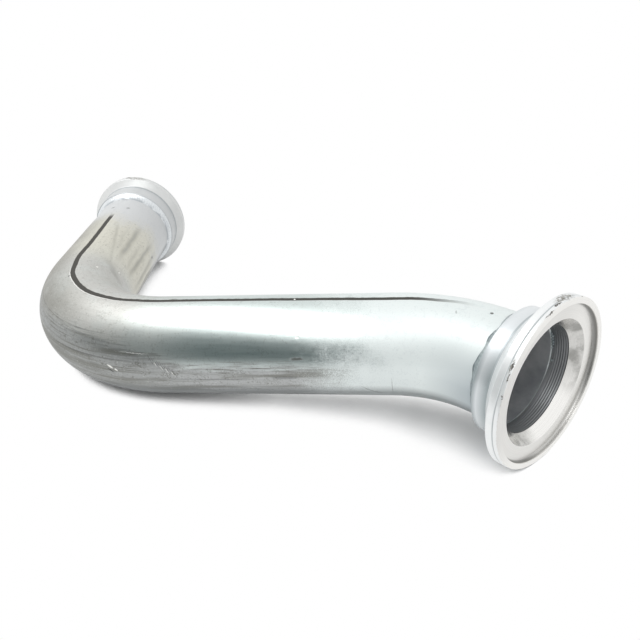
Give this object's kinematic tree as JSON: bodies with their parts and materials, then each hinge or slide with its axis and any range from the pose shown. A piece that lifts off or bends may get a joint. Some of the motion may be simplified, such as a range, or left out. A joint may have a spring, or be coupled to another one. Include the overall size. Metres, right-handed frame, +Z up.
{
  "type": "exhaust downpipe",
  "caption": "Twice-bent aluminised steel exhaust pipe with a turned clamp flange welded to each end, carrying engine exhaust gas to the next pipe.",
  "frame": {"origin": "middle of the footprint's box, on the floor that the pipe lies on", "axes": "+X along the main straight towards the front flange, +Y towards the rear flange, +Z up from the floor"},
  "size_m": [0.6714, 0.5088, 0.1612],
  "materials": {
    "aluminised_tube": "satin aluminised sheet with a dark weld seam, silver heat paint at both ends",
    "flange_steel": "silver heat paint outside, bare turned steel on the mating face",
    "weld_metal": "rippled weld metal under silver heat paint"
  },
  "bodies": {
    "root": {"bent_tube": "aluminised_tube", "front_flange": "flange_steel", "rear_flange": "flange_steel", "front_weld_bead": "weld_metal", "rear_weld_bead": "weld_metal"}
  },
  "joints": []
}
